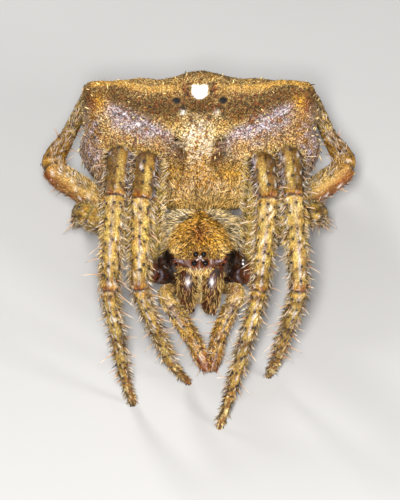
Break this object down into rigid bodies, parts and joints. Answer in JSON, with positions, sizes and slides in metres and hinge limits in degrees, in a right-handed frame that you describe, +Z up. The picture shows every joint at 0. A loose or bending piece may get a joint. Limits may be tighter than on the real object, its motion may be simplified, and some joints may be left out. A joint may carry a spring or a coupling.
{
  "type": "orb weaver spider",
  "caption": "Life-size still model of a large, broad-shouldered orb weaver spider standing with its front legs drawn in front of its head.",
  "frame": {"origin": "the middle of the model's footprint, on the floor its feet stand on", "axes": "+Z up, +Y from the head towards the tail along the longest extent, +X to the right of someone facing the spider's face"},
  "size_m": [0.023, 0.0338, 0.0158],
  "materials": {
    "leg_cuticle": "satin tan cuticle with brown joint bands and pale hairs",
    "body_cuticle": "short-haired brown and golden cuticle",
    "jaw_cuticle": "glossy red-brown cuticle",
    "dark_cuticle": "dark brown cuticle",
    "fang": "polished black-brown horn",
    "eye": "polished black lens"
  },
  "bodies": {
    "root": {"abdomen": "body_cuticle", "chelicera_l": "jaw_cuticle", "chelicera_r": "jaw_cuticle", "eye_back_lateral_l": "eye", "eye_back_lateral_r": "eye", "eye_back_median_l": "eye", "eye_back_median_r": "eye", "eye_front_lateral_l": "eye", "eye_front_lateral_r": "eye", "eye_front_median_l": "eye", "eye_front_median_r": "eye", "fang_l": "fang", "fang_r": "fang", "leg1_l_femur": "leg_cuticle", "leg1_l_metatarsus": "leg_cuticle", "leg1_l_patella": "leg_cuticle", "leg1_l_tarsus": "leg_cuticle", "leg1_l_tibia": "leg_cuticle", "leg1_r_femur": "leg_cuticle", "leg1_r_metatarsus": "leg_cuticle", "leg1_r_patella": "leg_cuticle", "leg1_r_tarsus": "leg_cuticle", "leg1_r_tibia": "leg_cuticle", "leg2_l_femur": "leg_cuticle", "leg2_l_metatarsus": "leg_cuticle", "leg2_l_patella": "leg_cuticle", "leg2_l_tarsus": "leg_cuticle", "leg2_l_tibia": "leg_cuticle", "leg2_r_femur": "leg_cuticle", "leg2_r_metatarsus": "leg_cuticle", "leg2_r_patella": "leg_cuticle", "leg2_r_tarsus": "leg_cuticle", "leg2_r_tibia": "leg_cuticle", "leg3_l_femur": "leg_cuticle", "leg3_l_metatarsus": "leg_cuticle", "leg3_l_patella": "leg_cuticle", "leg3_l_tarsus": "leg_cuticle", "leg3_l_tibia": "leg_cuticle", "leg3_r_femur": "leg_cuticle", "leg3_r_metatarsus": "leg_cuticle", "leg3_r_patella": "leg_cuticle", "leg3_r_tarsus": "leg_cuticle", "leg3_r_tibia": "leg_cuticle", "leg4_l_femur": "leg_cuticle", "leg4_l_metatarsus": "leg_cuticle", "leg4_l_patella": "leg_cuticle", "leg4_l_tarsus": "leg_cuticle", "leg4_l_tibia": "leg_cuticle", "leg4_r_femur": "leg_cuticle", "leg4_r_metatarsus": "leg_cuticle", "leg4_r_patella": "leg_cuticle", "leg4_r_tarsus": "leg_cuticle", "leg4_r_tibia": "leg_cuticle", "palp_l_femur": "leg_cuticle", "palp_l_tarsus": "leg_cuticle", "palp_r_femur": "leg_cuticle", "palp_r_tarsus": "leg_cuticle", "pedicel": "dark_cuticle", "prosoma": "body_cuticle", "spinnerets": "dark_cuticle"}
  },
  "joints": []
}
